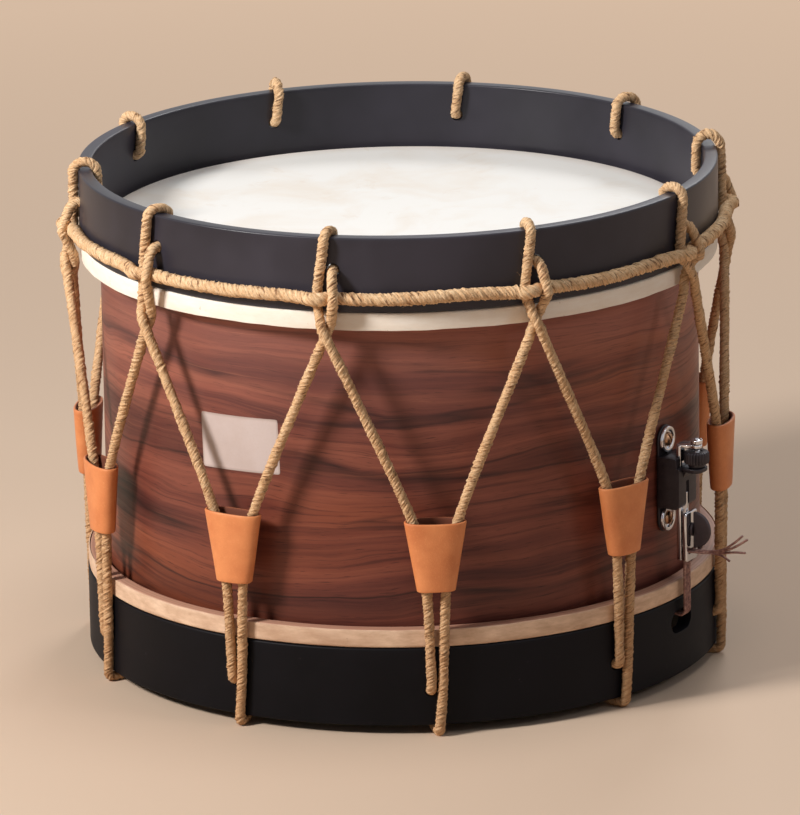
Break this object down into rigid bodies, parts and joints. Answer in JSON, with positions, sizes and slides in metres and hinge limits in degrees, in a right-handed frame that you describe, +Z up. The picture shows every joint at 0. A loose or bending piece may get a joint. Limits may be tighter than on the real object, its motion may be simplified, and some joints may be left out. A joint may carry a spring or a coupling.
{
  "type": "rope-tensioned snare drum",
  "caption": "Rope-tensioned snare drum: wooden shell, skin heads, tall counterhoops, laced rope with sliding leather tabs, gut snares and a screw strainer.",
  "frame": {"origin": "on the drum's axis, at the floor that it stands on", "axes": "+Z up along the drum's axis, from the snare side to the batter side; the strainer is at 45 degrees from +X towards -Y"},
  "size_m": [0.4056, 0.4054, 0.3102],
  "materials": {
    "walnut": "satin",
    "black_lacquer": "semi-gloss lacquer",
    "hoop_wood": "bare",
    "skin": "matte",
    "rope": "matte",
    "leather": "satin",
    "gut": "satin",
    "chrome": "polished",
    "black_metal": "satin",
    "grey_metal": "worn"
  },
  "bodies": {
    "drum": {"shell": "walnut", "batter_head": "skin", "snare_head": "skin", "upper_flesh_hoop": "hoop_wood", "lower_flesh_hoop": "hoop_wood", "upper_counterhoop": "black_lacquer", "lower_counterhoop": "black_lacquer", "girth_rope": "rope", "strainer_base_plate": "black_metal", "strainer_cup_upper": "chrome", "strainer_cup_lower": "chrome", "strainer_body": "black_metal", "strainer_screw_upper": "chrome", "strainer_screw_lower": "chrome", "butt_bracket": "chrome", "butt_clamp_plate": "chrome", "butt_clamp_screw_1": "chrome", "butt_clamp_screw_2": "chrome", "butt_screw_upper": "chrome", "butt_screw_lower": "chrome", "tension_rope_1_right": "rope", "tension_rope_1_left": "rope", "tension_rope_2_right": "rope", "tension_rope_2_left": "rope", "tension_rope_3_right": "rope", "tension_rope_3_left": "rope", "tension_rope_4_right": "rope", "tension_rope_4_left": "rope", "tension_rope_5_right": "rope", "tension_rope_5_left": "rope", "tension_rope_6_right": "rope", "tension_rope_6_left": "rope", "tension_rope_7_right": "rope", "tension_rope_7_left": "rope", "tension_rope_8_right": "rope", "tension_rope_8_left": "rope", "tension_rope_9_right": "rope", "tension_rope_9_left": "rope", "tension_rope_10_right": "rope", "tension_rope_10_left": "rope", "snare_1": "gut", "snare_2": "gut", "snare_3": "gut", "snare_4": "gut"},
    "tab_1": {"tension_tab_1": "leather"},
    "tab_2": {"tension_tab_2": "leather"},
    "tab_3": {"tension_tab_3": "leather"},
    "tab_4": {"tension_tab_4": "leather"},
    "tab_5": {"tension_tab_5": "leather"},
    "tab_6": {"tension_tab_6": "leather"},
    "tab_7": {"tension_tab_7": "leather"},
    "tab_8": {"tension_tab_8": "leather"},
    "tab_9": {"tension_tab_9": "leather"},
    "tab_10": {"tension_tab_10": "leather"},
    "snare_carrier": {"snare_slide": "chrome", "tension_stud": "chrome", "snare_clamp_plate": "chrome"},
    "nut": {"tension_nut": "black_metal"},
    "clamp_screw": {"snare_clamp_screw": "grey_metal"}
  },
  "joints": [
    {"name": "tab_slide_1", "type": "slide", "parent": "drum", "child": "tab_1", "axis": [0, 0, 1], "range_m": [-0.0395, 0.0195], "deforming": ["tension_rope_1_right", "tension_rope_1_left"]},
    {"name": "tab_slide_2", "type": "slide", "parent": "drum", "child": "tab_2", "axis": [0, 0, 1], "range_m": [-0.032, 0.027], "deforming": ["tension_rope_2_right", "tension_rope_2_left"]},
    {"name": "tab_slide_3", "type": "slide", "parent": "drum", "child": "tab_3", "axis": [0, 0, 1], "range_m": [-0.027, 0.032], "deforming": ["tension_rope_3_right", "tension_rope_3_left"]},
    {"name": "tab_slide_4", "type": "slide", "parent": "drum", "child": "tab_4", "axis": [0, 0, 1], "range_m": [-0.029, 0.03], "deforming": ["tension_rope_4_right", "tension_rope_4_left"]},
    {"name": "tab_slide_5", "type": "slide", "parent": "drum", "child": "tab_5", "axis": [0, 0, 1], "range_m": [-0.026, 0.033], "deforming": ["tension_rope_5_right", "tension_rope_5_left"]},
    {"name": "tab_slide_6", "type": "slide", "parent": "drum", "child": "tab_6", "axis": [0, 0, 1], "range_m": [-0.031, 0.028], "deforming": ["tension_rope_6_right", "tension_rope_6_left"]},
    {"name": "tab_slide_7", "type": "slide", "parent": "drum", "child": "tab_7", "axis": [0, 0, 1], "range_m": [-0.029, 0.03], "deforming": ["tension_rope_7_right", "tension_rope_7_left"]},
    {"name": "tab_slide_8", "type": "slide", "parent": "drum", "child": "tab_8", "axis": [0, 0, 1], "range_m": [-0.024, 0.035], "deforming": ["tension_rope_8_right", "tension_rope_8_left"]},
    {"name": "tab_slide_9", "type": "slide", "parent": "drum", "child": "tab_9", "axis": [0, 0, 1], "range_m": [-0.024, 0.035], "deforming": ["tension_rope_9_right", "tension_rope_9_left"]},
    {"name": "tab_slide_10", "type": "slide", "parent": "drum", "child": "tab_10", "axis": [0, 0, 1], "range_m": [-0.031, 0.028], "deforming": ["tension_rope_10_right", "tension_rope_10_left"]},
    {"name": "nut_turn", "type": "hinge", "parent": "drum", "child": "nut", "pos_m": [0.14178, -0.14178, 0.138], "axis": [0, 0, -1], "range_deg": [0, 2520]},
    {"name": "snare_lift", "type": "slide", "parent": "drum", "child": "snare_carrier", "axis": [0, 0, 1], "range_m": [0, 0.007], "deforming": ["snare_1", "snare_2", "snare_3", "snare_4"]},
    {"name": "clamp_screw_turn", "type": "hinge", "parent": "snare_carrier", "child": "clamp_screw", "pos_m": [0.13965, -0.13965, 0.0955], "axis": [0.7071, -0.7071, 0], "range_deg": [0, 360]}
  ],
  "couplings": [
    {"joint": "nut_turn", "follows": "snare_lift", "rad_per_m": 6283.2}
  ]
}
